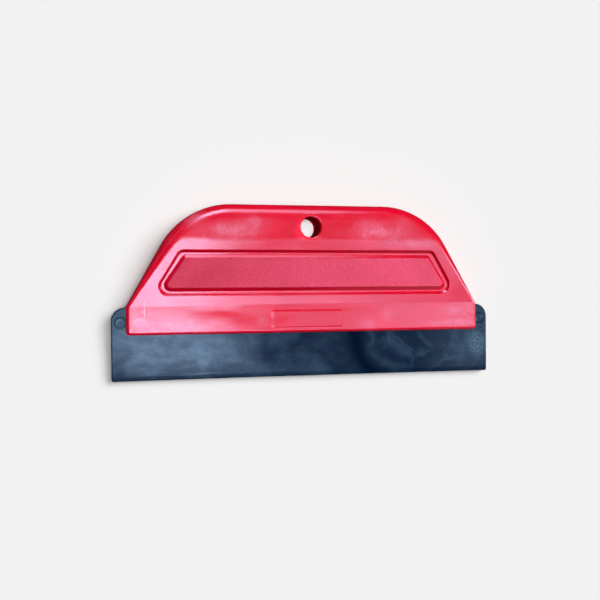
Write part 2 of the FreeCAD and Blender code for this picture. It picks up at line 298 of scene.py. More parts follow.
def make_shell(name, front):
    m = Mesh()
    end = levels(5.3, 22)
    step = 0.32
    mid = np.arange(-HALF_W + end[-1] + step, HALF_W - end[-1], step)
    xs = np.concatenate([-HALF_W + end, mid, (HALF_W - end)[::-1]])
    # keep columns off the exact ends' corner singularity
    low, high = levels(5.0, 20), levels(8.4, 36)
    n_mid = 176
    cols = []
    for x in xs:
        ylo, yhi = y_range(x)
        xa = min(abs(x), HALF_W - 1e-6)
        # slope of the outline at this column
        g = 0.01
        ny = max(0.504, float(OUTLINE.sd(np.array(xa), np.array(yhi - g)) / g)) if xa < 92.8 else 0.504
        room = (yhi - ylo)
        up = high / ny
        up = up * min(1.0, 0.62 * room / up[-1])
        dn = low * min(1.0, 0.25 * room / low[-1])
        a, b = ylo + dn[-1], yhi - up[-1]
        inner = np.linspace(a, b, n_mid + 2)[1:-1]
        cols.append(np.concatenate([ylo + dn, inner, (yhi - up)[::-1]]))
    Y = np.array(cols)
    X = np.repeat(xs[:, None], Y.shape[1], 1)
    Z = shell_height(X, Y, front)
    floor_z = np.where(Y < SLOT_TOP, BLADE_T / 2, 0.0)
    Z = np.maximum(Z, floor_z + 0.04)
    nx, ny_ = X.shape
    # the parting edge is broken by a fine bevel
    P = np.stack([X, Y, Z], -1)
    idx = m.add(P).reshape(nx, ny_)
    keep = np.ones((nx - 1, ny_ - 1), bool)
    holes = [(0.0, HOLE_Y, HOLE_R, 8.2, 128)]
    if not front:
        holes += [(sx, sy, CBORE_R, 4.15 if abs(sx) > 60 else 4.4, 80) for sx, sy in SCREWS]
    for cx, cy, r0, rp, M in holes:
        R = np.hypot(X - cx, Y - cy)
        inside = R < rp + 0.12
        bad = inside[:-1, :-1] | inside[1:, :-1] | inside[1:, 1:] | inside[:-1, 1:]
        keep &= ~bad
    q = [idx[:-1, :-1][keep], idx[1:, :-1][keep], idx[1:, 1:][keep], idx[:-1, 1:][keep]]
    m.quads(*q)
    grid_faces = np.stack(q, -1)
    for cx, cy, r0, rp, M in holes:
        # boundary vertices of the cut
        R = np.hypot(X - cx, Y - cy)
        near = (R < rp + 2.5).ravel()
        fsel = grid_faces[near[grid_faces].any(1)]
        e = np.concatenate([fsel[:, [0, 1]], fsel[:, [1, 2]], fsel[:, [2, 3]], fsel[:, [3, 0]]])
        es = np.sort(e, 1)
        u, inv, cnt = np.unique(es, axis=0, return_inverse=True, return_counts=True)
        single = u[cnt == 1]
        xy = np.stack([X.ravel(), Y.ravel()], 1)
        rr = np.hypot(xy[single][:, :, 0] - cx, xy[single][:, :, 1] - cy)
        # the edges of the cut itself, not of the selection
        ok = rr.max(1) < rp + 1.3
        ids = np.unique(single[ok])
        ang = np.arctan2(xy[ids, 1] - cy, xy[ids, 0] - cx)
        order = np.argsort(ang)
        outer, oa = ids[order], ang[order]
        th = -math.pi + (np.arange(M) + 0.5) * 2 * math.pi / M
        rim = HOLE_RIM if cx == 0 else 0.3
        radii = list(np.linspace(rp, r0 + rim, 12)) + [r0 + rim * (1 - math.sin(a)) for a in np.linspace(0, math.pi / 2, 12)[1:]]
        rings = []
        for r in radii:
            px, py = cx + r * np.cos(th), cy + r * np.sin(th)
            pz = shell_height(px, py, front)
            if r == radii[-1]:
                top_z = pz
            rings.append(m.add(np.stack([px, py, pz], -1)))
        bottom = 0.03 if cx == 0 else -SCREW_SEAT
        px, py = cx + r0 * np.cos(th), cy + r0 * np.sin(th)
        for t in (0.04, 0.12, 0.3, 0.6, 0.9, 1.0):
            rings.append(m.add(np.stack([px, py, top_z + (bottom - top_z) * t], -1)))
        if cx == 0:
            # the joint between the two tubes, slightly recessed
            rings.append(m.add(np.stack([cx + (r0 + 0.15) * np.cos(th), cy + (r0 + 0.15) * np.sin(th), px * 0 + 0.01], -1)))
            rings.append(m.add(np.stack([cx + (r0 + 2.0) * np.cos(th), cy + (r0 + 2.0) * np.sin(th), px * 0 + 0.005], -1)))
        else:
            for r in (r0 - 0.15, 1.7):
                rings.append(m.add(np.stack([cx + r * np.cos(th), cy + r * np.sin(th), px * 0 + bottom], -1)))
        for a, b in zip(rings[:-1], rings[1:]):
            m.quads(a, np.roll(a, -1), np.roll(b, -1), b)
        # every triangle of the joining strip faces the same way
        tri = zipper(list(outer), oa, list(rings[0]), th)
        at = {int(k): (float(xy[k, 0]), float(xy[k, 1])) for k in outer}
        at.update({int(k): (cx + radii[0] * math.cos(t), cy + radii[0] * math.sin(t)) for k, t in zip(rings[0], th)})

        def area(t):
            (ax, ay), (bx, by), (ux, uy) = (at[int(k)] for k in t)
            return (bx - ax) * (uy - ay) - (by - ay) * (ux - ax)

        sign = 1.0 if 2 * sum(area(t) > 0 for t in tri) > len(tri) else -1.0
        m.tris([t if area(t) * sign >= 0 else (t[0], t[2], t[1]) for t in tri])
    # a flange inwards from the parting edge, so that no light passes between the shells
    loop = np.concatenate([idx[:, 0], idx[-1, 1:], idx[-2::-1, -1], idx[0, -2:0:-1]])
    L = P.reshape(-1, 3)[loop]
    z0 = np.where(L[:, 1] < SLOT_TOP, BLADE_T / 2, 0.0)
    cxy = np.stack([np.clip(L[:, 0] * 0.72, -58, 58), np.full(len(L), 31.0)], 1)
    dirn = cxy - L[:, :2]
    dirn /= np.linalg.norm(dirn, axis=1)[:, None]
    chain = [loop]
    for inset, dz in ((0.10, 0.012), (1.0, 0.008), (2.4, 0.006)):
        p = np.concatenate([L[:, :2] + dirn * inset, (z0 + dz)[:, None]], 1)
        chain.append(m.add(p))
    for a, b in zip(chain[:-1], chain[1:]):
        m.quads(a, np.roll(a, -1), np.roll(b, -1), b)
    side = 1.0 if front else -1.0
    for arr in m.v:
        arr[:, 2] *= side

    def normals(v):
        # exact normals wherever a point lies on the moulded surface
        x, y, z = v[:, 0], v[:, 1], v[:, 2] * side
        h = 0.03
        c = shell_height(x, y, front)
        gx = (shell_height(x + h, y, front) - shell_height(x - h, y, front)) / (2 * h)
        gy = (shell_height(x, y + h, front) - shell_height(x, y - h, front)) / (2 * h)
        n = np.stack([-gx, -gy, np.ones_like(gx)], 1)
        n /= np.linalg.norm(n, axis=1)[:, None]
        n[:, 2] *= side
        r_hole = np.hypot(x, y - HOLE_Y)
        ok = (np.abs(c - z) < 1e-4) & (OUTLINE.sd(x, y) > 0.12) & (r_hole > HOLE_R + 0.12)
        if not front:
            for sx, sy in SCREWS:
                ok &= np.hypot(x - sx, y - sy) > CBORE_R + 0.06
        cs, sn = math.cos(TILT), math.sin(TILT)
        w = np.stack([n[:, 0], n[:, 1] * cs - n[:, 2] * sn, n[:, 1] * sn + n[:, 2] * cs], 1)
        w[~ok] = 0.0
        return w

    return m.build(name, flip=not front, normals=normals)


def add_masks(ob, front):
    """Per-point values that the plastic reads: 1 on the grained panel, painted-shade weights up to 1 on the groove
    walls and down the bore of the hanging hole, and the tool-frame coordinates.
    """
    me = ob.data
    n = len(me.vertices)
    co = np.empty(n * 3)
    me.vertices.foreach_get("co", co)
    co = co.reshape(-1, 3) * 1000.0
    c, s = math.cos(TILT), math.sin(TILT)
    yy, zz = co[:, 1] - SHIFT_Y, co[:, 2] - LIFT
    x, y, z = co[:, 0], yy * c + zz * s, -yy * s + zz * c
    sgn = 1.0 if front else -1.0
    face = (z * sgn > 1.8)
    panel = smooth(ISLAND.sd(x, y) / 0.5 + 0.6) * face
    def depth(px, py):
        return smin(smin(GROOVE.sd(px, py) * 0.84, -ISLAND.sd(px, py) * 0.66, 0.05), GROOVE_DEPTH, 0.16) / GROOVE_DEPTH
    g = depth(x, y)
    gx, gy = depth(x + 0.1, y) - depth(x - 0.1, y), depth(x, y + 0.1) - depth(x, y - 0.1)
    gl = np.maximum(np.hypot(gx, gy), 1e-6)
    # painted shade: the groove walls that face the blade or lie on the left are darkened most, as if they lay in shade
    shade = np.clip(0.30 + 0.70 * (np.maximum(-gy / gl, 0) ** 2 + (gx / gl) ** 2 * (x < 0)), 0, 1)
    groove_shade = smooth(g / 0.25) * smooth((1.0 - g) / 0.10) * face * shade
    # painted shade down the bore of the hanging hole, strongest deep inside and fading toward the mouth
    bore_shade = (np.hypot(x, y - HOLE_Y) < HOLE_R + 0.3) * smooth((5.6 - z * sgn) / 3.0)
    for name, val in (("panel_mask", panel), ("groove_shade_mask", groove_shade), ("bore_shade_mask", bore_shade), ("tool_x", x), ("tool_y", y), ("tool_z", z)):
        a = me.attributes.new(name, "FLOAT", "POINT")
        a.data.foreach_set("value", np.asarray(val, np.float32))


def make_blade():
    m = Mesh()
    fine = np.concatenate([[0, 0.03, 0.1, 0.2, 0.32, 0.45, 0.6], np.arange(0.8, 12.4, 0.2)])
    mid = np.arange(-BLADE_HALF + 13.0, BLADE_HALF - 12.9, 0.8)
    xs = np.concatenate([-BLADE_HALF + fine, mid, (BLADE_HALF - fine)[::-1]])
    edge = np.array([0, 0.03, 0.1, 0.2, 0.32, 0.45, 0.6])

    def yr(x):
        ax = abs(x)
        lo = BLADE_EDGE
        if ax > BLADE_HALF - 1.0:
            lo = BLADE_EDGE + 1.0 - math.sqrt(max(1.0 - (ax - BLADE_HALF + 1.0) ** 2, 0))
        hi = BLADE_TOP
        if ax > BLADE_HALF - 6.4:
            hi = BLADE_TOP - 6.4 + math.sqrt(max(6.4 ** 2 - (ax - BLADE_HALF + 6.4) ** 2, 0))
        lo += 0.28 * (1 - (x / BLADE_HALF) ** 2)
        return lo, hi

    cols = []
    for x in xs:
        lo, hi = yr(x)
        cols.append(np.concatenate([lo + edge, np.linspace(lo + 0.6, hi - 0.6, 110)[1:-1], (hi - edge)[::-1]]))
    Y = np.array(cols)
    X = np.repeat(xs[:, None], Y.shape[1], 1)
    bow = 0.28 * (1 - (X / BLADE_HALF) ** 2)
    d = BLADE.sd(X, np.where(Y < 0, Y - bow * np.clip(-Y / -BLADE_EDGE, 0, 1), Y))
    rr = 0.45
    t = np.clip(d, 0, rr)
    half = BLADE_T / 2 - (rr - np.sqrt(np.maximum(rr ** 2 - (rr - t) ** 2, 0)))
    # the working edge thins over its last 2.3 mm, from a fine line
    yy = Y - (BLADE_EDGE + bow)
    half = half - 0.33 * np.clip((2.3 - yy) / 2.3, 0, 1) - 0.02 * np.exp(-((yy - 2.4) / 0.18) ** 2)
    free = np.clip((1.0 - Y) / 20.0, 0, 1)
    warp = free * (0.10 * np.sin(X * 0.045 + 0.6) + 0.05 * np.sin(X * 0.11 + 2.0))
    low_wave = free * 0.02 * np.sin(X * 0.31) * np.sin(Y * 0.4)

    def relief(front):
        z = half + low_wave
        outside = smooth((np.abs(X) - 93.25) / 0.2)
        for sx in (-95.6, 95.6):
            r = np.hypot(X - sx, Y - 6.2)
            z = z + outside * (0.06 if sx < 0 else 0.13) * (np.exp(-((r - 2.35) / 0.42) ** 2) - 0.5 * smooth((2.1 - r) / 0.8))
        if front:
            r = np.hypot(X - 95.6, Y - 6.0)
            z = z + 0.13 * np.exp(-(r / 0.5) ** 2)
            r = np.hypot(X - 96.7, Y + 0.1)
            z = z + 0.10 * np.exp(-((r - 1.1) / 0.3) ** 2) - 0.06 * np.exp(-(r / 0.7) ** 2)
            r = np.hypot(X + 97.2, Y + 18.5)
            z = z - 0.04 * smooth((0.9 - r) / 0.7 + 0.5)
            # witness line beside the handle's left end
            z = z + 0.02 * np.exp(-((X + 94.4) / 0.45) ** 2) * smooth((4 - Y) / 3) * smooth((Y + 21) / 2)
        return z

    Zf, Zb = relief(True) + warp, -relief(False) + warp
    f = m.add(np.stack([X, Y, Zf], -1)).reshape(X.shape)
    b = m.add(np.stack([X, Y, Zb], -1)).reshape(X.shape)
    m.quads(f[:-1, :-1], f[1:, :-1], f[1:, 1:], f[:-1, 1:])
    m.quads(b[:-1, 1:], b[1:, 1:], b[1:, :-1], b[:-1, :-1])

    def loop(i):
        return np.concatenate([i[:, 0], i[-1, 1:], i[-2::-1, -1], i[0, -2:0:-1]])
    lf, lb = loop(f), loop(b)
    pf = np.stack([X, Y, Zf], -1).reshape(-1, 3)[lf]
    pb = np.stack([X, Y, Zb], -1).reshape(-1, 3)[lf]
    chain = [lf]
    for t in (0.25, 0.5, 0.75):
        chain.append(m.add(pf * (1 - t) + pb * t))
    chain.append(lb)
    for a, c in zip(chain[:-1], chain[1:]):
        m.quads(np.roll(a, -1), a, c, np.roll(c, -1))
    ob = m.build("blade_strip")
    me = ob.data
    n = len(me.vertices)
    co = np.empty(n * 3)
    me.vertices.foreach_get("co", co)
    co = co.reshape(-1, 3) * 1000.0
    c, s = math.cos(TILT), math.sin(TILT)
    y1, z1 = co[:, 1] - SHIFT_Y, co[:, 2] - LIFT
    for name, val in (("tool_x", co[:, 0]), ("tool_y", y1 * c + z1 * s), ("tool_z", -y1 * s + z1 * c)):
        a = me.attributes.new(name, "FLOAT", "POINT")
        a.data.foreach_set("value", np.asarray(val, np.float32))
    return ob


# ----------------------------------------------------------------- materials
# painted sheen patches on the grip, standing in for reflected window light: x, y, half widths, strength
SHEEN_PATCHES = [(-41.0, 51.5, 12.0, 3.6, 0.34), (-30.0, 56.0, 6.0, 3.0, 0.22), (-60.0, 58.0, 5.0, 4.0, 0.22), (38.0, 51.0, 13.0, 3.2, 0.36),
        (31.0, 55.5, 6.0, 2.6, 0.26), (50.0, 56.0, 5.0, 3.0, 0.14), (58.0, 46.0, 12.0, 2.2, 0.20), (-54.0, 47.0, 14.0, 2.0, 0.12),
        (82.0, 10.3, 7.0, 2.2, 0.26), (80.0, 3.8, 13.0, 2.0, 0.24), (31.5, 3.6, 3.6, 2.2, 0.20), (42.0, 9.0, 2.6, 3.6, 0.12),
        (-70.0, 4.4, 12.0, 2.6, 0.30), (-55.0, 3.4, 9.0, 2.0, 0.26), (-25.5, 6.4, 3.6, 2.4, 0.20), (-85.0, 5.4, 4.0, 2.8, 0.18)]


class Nodes:
    def __init__(self, name):
        self.mat = bpy.data.materials.new(name)
        self.mat.use_nodes = True
        self.t = self.mat.node_tree
        self.t.nodes.clear()
        self.out = self.t.nodes.new("ShaderNodeOutputMaterial")
        self.b = self.t.nodes.new("ShaderNodeBsdfPrincipled")
        self.t.links.new(self.b.outputs[0], self.out.inputs["Surface"])

    def put(self, sock, val):
        if hasattr(val, "is_output"):
            self.t.links.new(val, sock)
        elif isinstance(val, (tuple, list)) and sock.type == "RGBA" and len(val) == 3:
            sock.default_value = (*val, 1.0)
        else:
            sock.default_value = val

    def math(self, op, a, b=0.0, c=0.0, clamp=False):
        n = self.t.nodes.new("ShaderNodeMath")
        n.operation = op
        n.use_clamp = clamp
        for s, v in zip(n.inputs, (a, b, c)):
            self.put(s, v)
        return n.outputs[0]

    def attr(self, name):
        n = self.t.nodes.new("ShaderNodeAttribute")
        n.attribute_name = name
        return n.outputs["Fac"]

    def xyz(self, x, y, z):
        n = self.t.nodes.new("ShaderNodeCombineXYZ")
        for s, v in zip(n.inputs, (x, y, z)):
            self.put(s, v)
        return n.outputs[0]

    def noise(self, vec, scale, detail=3.0, rough=0.5, dist=0.0, color=False):
        n = self.t.nodes.new("ShaderNodeTexNoise")
        self.put(n.inputs["Vector"], vec)
        n.inputs["Scale"].default_value = scale
        n.inputs["Detail"].default_value = detail
        n.inputs["Roughness"].default_value = rough
        n.inputs["Distortion"].default_value = dist
        return n.outputs["Color" if color else "Fac"]

    def voronoi(self, vec, scale, feature="F1"):
        n = self.t.nodes.new("ShaderNodeTexVoronoi")
        n.feature = feature
        self.put(n.inputs["Vector"], vec)
        n.inputs["Scale"].default_value = scale
        return n.outputs["Distance"]

    def ramp(self, fac, stops):
        n = self.t.nodes.new("ShaderNodeValToRGB")
        el = n.color_ramp.elements
        while len(el) < len(stops):
            el.new(0.5)
        for e, (p, c) in zip(el, stops):
            e.position = p
            e.color = (*c, 1.0) if isinstance(c, tuple) else (c, c, c, 1.0)
        self.put(n.inputs["Fac"], fac)
        return n.outputs["Color"]

    def mix(self, fac, a, b, mode="MIX"):
        n = self.t.nodes.new("ShaderNodeMix")
        n.data_type = "RGBA"
        n.blend_type = mode
        self.put(n.inputs["Factor"], fac)
        self.put(n.inputs["A"], a)
        self.put(n.inputs["B"], b)
        return n.outputs["Result"]

    def maprange(self, v, a, b, c, d):
        n = self.t.nodes.new("ShaderNodeMapRange")
        for s, x in zip(n.inputs, (v, a, b, c, d)):
            self.put(s, x)
        return n.outputs[0]

    def bump(self, height, strength, dist, normal=None):
        n = self.t.nodes.new("ShaderNodeBump")
        n.inputs["Strength"].default_value = strength
        n.inputs["Distance"].default_value = dist
        self.put(n.inputs["Height"], height)
        if normal is not None:
            self.put(n.inputs["Normal"], normal)
        return n.outputs[0]


def red_plastic():
    N = Nodes("red_moulding")
    x, y, z = N.attr("tool_x"), N.attr("tool_y"), N.attr("tool_z")
    vec = N.xyz(x, y, z)
    panel, groove_shade, bore_shade = N.attr("panel_mask"), N.attr("groove_shade_mask"), N.attr("bore_shade_mask")
    cloud = N.noise(vec, 0.045, 3.0, 0.5, 0.6)
    base = N.mix(N.maprange(cloud, 0.35, 0.65, 0.0, 1.0), (0.700, 0.0004, 0.022), (0.765, 0.0010, 0.030))
    # painted sheen: pale lilac patches in the base colour stand in for reflected window light on the grip, and the
    # same patches are also rougher: x, y, half widths, strength
    rag = N.noise(vec, 0.16, 4.0, 0.6, 0.8)
    painted_sheen = 0.0
    for hx, hy, wx, wy, k in SHEEN_PATCHES:
        dx = N.math("DIVIDE", N.math("SUBTRACT", x, hx), wx)
        dy = N.math("DIVIDE", N.math("SUBTRACT", y, hy), wy)
        q = N.math("ADD", N.math("MULTIPLY", dx, dx), N.math("MULTIPLY", dy, dy))
        q = N.math("ADD", q, N.math("MULTIPLY", N.math("SUBTRACT", rag, 0.5), 3.4))
        blob = N.math("MULTIPLY", N.math("EXPONENT", N.math("MULTIPLY", N.math("MAXIMUM", q, 0.0), -1.0)), k)
        painted_sheen = N.math("ADD", painted_sheen, blob)
    painted_sheen = N.math("MULTIPLY", painted_sheen, N.maprange(N.noise(vec, 0.5, 4.0, 0.65), 0.3, 0.7, 0.75, 1.15), clamp=True)
    base = N.mix(painted_sheen, base, (0.86, 0.32, 0.51))
    # flaky marks at the edge of one patch
    ex = N.math("DIVIDE", N.math("SUBTRACT", x, 45.5), 7.5)
    ey = N.math("DIVIDE", N.math("SUBTRACT", y, 46.6), 2.0)
    near = N.math("EXPONENT", N.math("MULTIPLY", N.math("ADD", N.math("MULTIPLY", ex, ex), N.math("MULTIPLY", ey, ey)), -1.0))
    flake = N.math("MULTIPLY", N.maprange(N.noise(vec, 0.75, 5.0, 0.72, 0.6), 0.52, 0.56, 0.0, 1.0), N.maprange(near, 0.25, 0.55, 0.0, 0.5))
    base = N.mix(flake, base, (0.45, 0.0, 0.012))
    # one long scratch beside the left end, with a tick across it
    def line(px, py, hx, hy):
        ax = N.math("ABSOLUTE", N.math("SUBTRACT", x, px))
        ay = N.math("ABSOLUTE", N.math("SUBTRACT", y, py))
        return N.math("MULTIPLY", N.maprange(ax, hx * 0.4, hx, 1.0, 0.0), N.maprange(ay, hy * 0.85, hy, 1.0, 0.0))
    fleck2 = N.maprange(N.noise(vec, 1.3, 2.0, 0.5), 0.35, 0.6, 0.25, 1.0)
    scratch = N.math("MULTIPLY", N.math("ADD", line(-84.0, 13.0, 0.42, 4.2), N.math("MULTIPLY", line(-84.6, 11.6, 1.1, 0.3), 0.3), clamp=True), fleck2)
    base = N.mix(N.math("MULTIPLY", scratch, 0.55), base, (1.0, 0.72, 0.84))
    # the grained panel scatters a little more light; its colour has fine grain flecks over a painted light gradient,
    # darker and shaded on the left, brighter and pinker on the lit right, mixed with random cloudy tone
    fleck = N.noise(vec, 2.1, 4.0, 0.75)
    panel_light_and_tone = N.math("ADD", N.maprange(x, -75.0, 35.0, 0.0, 0.85), N.math("MULTIPLY", N.math("SUBTRACT", cloud, 0.5), 0.9), clamp=True)
    pcol = N.mix(N.maprange(fleck, 0.38, 0.62, 0.0, 1.0), N.mix(panel_light_and_tone, (0.500, 0.000, 0.016), (0.790, 0.008, 0.062)),
                 N.mix(panel_light_and_tone, (0.745, 0.024, 0.074), (1.000, 0.098, 0.200)))
    base = N.mix(panel, base, pcol)
    # painted shade: the base colour is pulled toward near black on the groove walls and down the bore of the hanging
    # hole
    unshaded = N.math("SUBTRACT", 1.0, N.math("ADD", N.math("MULTIPLY", groove_shade, 0.30), N.math("MULTIPLY", bore_shade, 0.72)), clamp=True)
    base = N.mix(unshaded, (0.02, 0.0, 0.002), base)
    N.put(N.b.inputs["Base Color"], base)
    # wipe marks and fine scratches
    smear = N.noise(N.xyz(N.math("MULTIPLY", x, 0.10), N.math("MULTIPLY", y, 0.34), z), 1.0, 4.0, 0.55, 0.8)
    fine = N.noise(N.xyz(N.math("MULTIPLY", x, 0.5), N.math("MULTIPLY", y, 6.0), z), 1.0, 2.0, 0.5, 0.2)
    rough = N.math("ADD", N.maprange(smear, 0.3, 0.7, 0.14, 0.23), N.maprange(fine, 0.62, 0.72, 0.0, 0.05))
    rough = N.math("ADD", rough, N.math("MULTIPLY", N.math("ADD", painted_sheen, scratch, clamp=True), 0.15))
    rough = N.math("ADD", N.math("MULTIPLY", rough, N.math("SUBTRACT", 1.0, panel)), N.math("MULTIPLY", panel, 0.52))
    N.put(N.b.inputs["Roughness"], rough)
    N.b.inputs["IOR"].default_value = 1.53
    # the specular level is lowered in the same painted-shade areas
    N.put(N.b.inputs["Specular IOR Level"], N.math("MULTIPLY", N.math("SUBTRACT", 1.0, N.math("ADD", N.math("MULTIPLY", groove_shade, 0.45), bore_shade, clamp=True)), 0.55))
    # texture of the mould
    grain = N.noise(vec, 3.4, 3.0, 0.62)
    orange = N.noise(vec, 0.55, 2.0, 0.5)
    h = N.math("ADD", N.math("MULTIPLY", N.math("MULTIPLY", grain, panel), 2.2), N.math("MULTIPLY", orange, 0.10))
    N.put(N.b.inputs["Normal"], N.bump(h, 0.6, 0.00028))
    return N.mat


def navy_rubber():
    N = Nodes("navy_rubber")
    x, y, z = N.attr("tool_x"), N.attr("tool_y"), N.attr("tool_z")
    vec = N.xyz(x, y, z)
    wob = N.noise(vec, 0.05, 3.0, 0.55)
    # dried wipe marks: cloudy on the left, where the lighter colour also stands in for reflected window light as
    # painted sheen, arcs of a wiping cloth on the right
    cloud = N.noise(N.xyz(N.math("MULTIPLY", x, 0.055), N.math("MULTIPLY", y, 0.085), z), 1.0, 5.0, 0.62, 0.25)
    scuff = N.noise(N.xyz(N.math("MULTIPLY", N.math("ADD", x, N.math("MULTIPLY", y, -1.2)), 0.05), N.math("MULTIPLY", y, 0.42), z), 1.0, 5.0, 0.66, 0.4)
    dx = N.math("SUBTRACT", x, N.math("ADD", 44.0, N.math("MULTIPLY", wob, 30.0)))
    dy = N.math("SUBTRACT", y, N.math("SUBTRACT", 22.0, N.math("MULTIPLY", wob, 24.0)))
    rad = N.math("SQRT", N.math("ADD", N.math("MULTIPLY", dx, dx), N.math("MULTIPLY", dy, dy)))
    ang = N.math("ARCTAN2", dy, dx)
    arcs = N.noise(N.xyz(N.math("MULTIPLY", rad, 0.105), N.math("MULTIPLY", ang, 1.9), 3.7), 1.0, 5.0, 0.64, 0.45)
    arcs = N.maprange(arcs, 0.46, 0.68, 0.0, 1.0)
    # the painted sheen zone at the left end, which also raises the specular level there
    left_sheen = N.math("MULTIPLY", N.maprange(x, -22.0, -52.0, 0.0, 1.0), N.maprange(x, -98.0, -80.0, 0.45, 1.0))
    # a darker crescent, with less wash and a lower specular level
    cx, cy = N.math("SUBTRACT", x, 50.0), N.math("ADD", y, 2.0)
    crad = N.math("ADD", N.math("SQRT", N.math("ADD", N.math("MULTIPLY", cx, cx), N.math("MULTIPLY", cy, cy))), N.math("MULTIPLY", wob, 4.0))
    cq = N.math("DIVIDE", N.math("SUBTRACT", crad, 27.5), 5.2)
    crescent = N.math("MULTIPLY", N.math("EXPONENT", N.math("MULTIPLY", N.math("MULTIPLY", cq, cq), -1.0)), N.maprange(x, 62.0, 40.0, 0.0, 0.9))
    keep = N.math("SUBTRACT", 1.0, crescent)
    right = N.maprange(x, 12.0, 40.0, 0.0, 1.0)
    mid = N.math("SUBTRACT", N.math("SUBTRACT", 1.0, left_sheen), right, clamp=True)
    lowfade = N.maprange(N.math("ADD", y, N.math("MULTIPLY", N.math("SUBTRACT", cloud, 0.5), 14.0)), -20.5, -13.5, 0.0, 1.0)
    wl = N.math("ADD", N.math("MULTIPLY", N.maprange(cloud, 0.36, 0.64, 0.15, 1.0), lowfade),
                N.math("MULTIPLY", N.maprange(scuff, 0.52, 0.7, 0.0, 0.55), N.math("SUBTRACT", 1.0, lowfade)), clamp=True)
    wipes_and_sheen = N.math("ADD", N.math("ADD", N.math("MULTIPLY", wl, left_sheen), N.math("MULTIPLY", N.math("MULTIPLY", arcs, 0.55), right)),
                  N.math("MULTIPLY", N.maprange(cloud, 0.4, 0.7, 0.0, 0.5), mid), clamp=True)
    wipes_and_sheen = N.math("MULTIPLY", wipes_and_sheen, keep)
    col = N.mix(wipes_and_sheen, (0.0006, 0.0088, 0.0285), (0.0058, 0.0320, 0.0640))
    col = N.mix(crescent, col, (0.0004, 0.0052, 0.0185))
    dust = N.maprange(N.noise(vec, 2.1, 3.0, 0.6), 0.62, 0.78, 0.0, 0.10)
    col = N.mix(dust, col, (0.06, 0.095, 0.13))
    # a rubbed, speckled patch on the right end
    px, py = N.math("DIVIDE", N.math("SUBTRACT", x, 94.2), 5.2), N.math("DIVIDE", N.math("ADD", y, 7.6), 7.4)
    pq = N.math("ADD", N.math("MULTIPLY", px, px), N.math("MULTIPLY", py, py))
    speck = N.maprange(N.noise(N.xyz(N.math("MULTIPLY", x, 0.8), N.math("MULTIPLY", y, 1.5), z), 1.0, 3.0, 0.65), 0.36, 0.62, 0.12, 1.0)
    patch = N.math("MULTIPLY", N.math("EXPONENT", N.math("MULTIPLY", N.math("POWER", pq, 1.5), -1.0)), speck)
    col = N.mix(N.math("MULTIPLY", patch, 0.90), col, (0.075, 0.140, 0.215))
    # round the moulded rings: a lighter disc inside each ring, and painted shade darkening the ring's groove and its
    # sunk centre, where the specular level is lowered too
    ends = N.math("SUBTRACT", N.math("ABSOLUTE", x), 95.6)
    up = N.math("SUBTRACT", y, 6.2)
    rr = N.math("SQRT", N.math("ADD", N.math("MULTIPLY", ends, ends), N.math("MULTIPLY", up, up)))
    lq = N.math("DIVIDE", N.math("SUBTRACT", rr, 2.75), 0.34)
    lining = N.math("EXPONENT", N.math("MULTIPLY", N.math("MULTIPLY", lq, lq), -1.0))
    ring_shade = N.math("ADD", lining, N.maprange(rr, 0.4, 1.1, 0.6, 0.0), clamp=True)
    inside = N.maprange(rr, 2.0, 2.6, 0.22, 0.0)
    col = N.mix(inside, col, (0.030, 0.070, 0.120))
    col = N.mix(N.math("MULTIPLY", ring_shade, 0.8), col, (0.0006, 0.0070, 0.0200))
    N.put(N.b.inputs["Base Color"], col)
    N.put(N.b.inputs["Roughness"], N.maprange(wipes_and_sheen, 0.0, 1.0, 0.30, 0.27))
    N.b.inputs["IOR"].default_value = 1.5
    N.b.inputs["Specular Tint"].default_value = (0.92, 1.0, 0.94, 1.0)
    level = N.math("ADD", N.math("MULTIPLY", N.math("MULTIPLY", left_sheen, 0.27), N.math("ADD", N.math("MULTIPLY", lowfade, 0.62), 0.38)), N.math("MULTIPLY", N.maprange(x, 58.0, 86.0, 0.0, 1.0), 0.23))
    level = N.math("ADD", N.math("ADD", level, 0.07), N.math("MULTIPLY", wipes_and_sheen, 0.30))
    level = N.math("MULTIPLY", N.math("MULTIPLY", level, keep), N.math("SUBTRACT", 1.0, N.math("MULTIPLY", ring_shade, 0.75)))
    N.put(N.b.inputs["Specular IOR Level"], level)
    h = N.math("ADD", N.noise(vec, 2.2, 4.0, 0.6), N.math("MULTIPLY", N.noise(vec, 0.35, 2.0, 0.5), 1.5))
    N.put(N.b.inputs["Normal"], N.bump(h, 0.25, 0.0002))
    return N.mat


def plated_steel():
    N = Nodes("plated_steel")
    tc = N.t.nodes.new("ShaderNodeTexCoord").outputs["Object"]
    n = N.noise(tc, 900.0, 3.0, 0.6)
    N.put(N.b.inputs["Base Color"], N.mix(n, (0.50, 0.50, 0.48), (0.68, 0.67, 0.64)))
    N.b.inputs["Metallic"].default_value = 1.0
    N.put(N.b.inputs["Roughness"], N.maprange(n, 0.3, 0.7, 0.25, 0.42))
    N.put(N.b.inputs["Normal"], N.bump(n, 0.15, 0.00005))
    return N.mat


# -------------------------------------------------------------------- pieces
red, navy, steel = red_plastic(), navy_rubber(), plated_steel()

front = make_shell("front_shell_skin", True)
add_masks(front, True)
front.data.materials.append(red)
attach(front, "handle"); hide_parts("front_shell")

rear = make_shell("rear_shell_skin", False)
add_masks(rear, False)
rear.data.materials.append(red)
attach(rear, "handle"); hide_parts("rear_shell")

blade = make_blade()
blade.data.materials.append(navy)
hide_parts("blade_root", "blade_lip")
tuple(to_world([0, -0.8, 0]))
tuple(to_world([0, -11.0, 0]))
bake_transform(blade)

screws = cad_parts["shell_screws"]
screws.data.materials.clear()
screws.data.materials.append(steel)

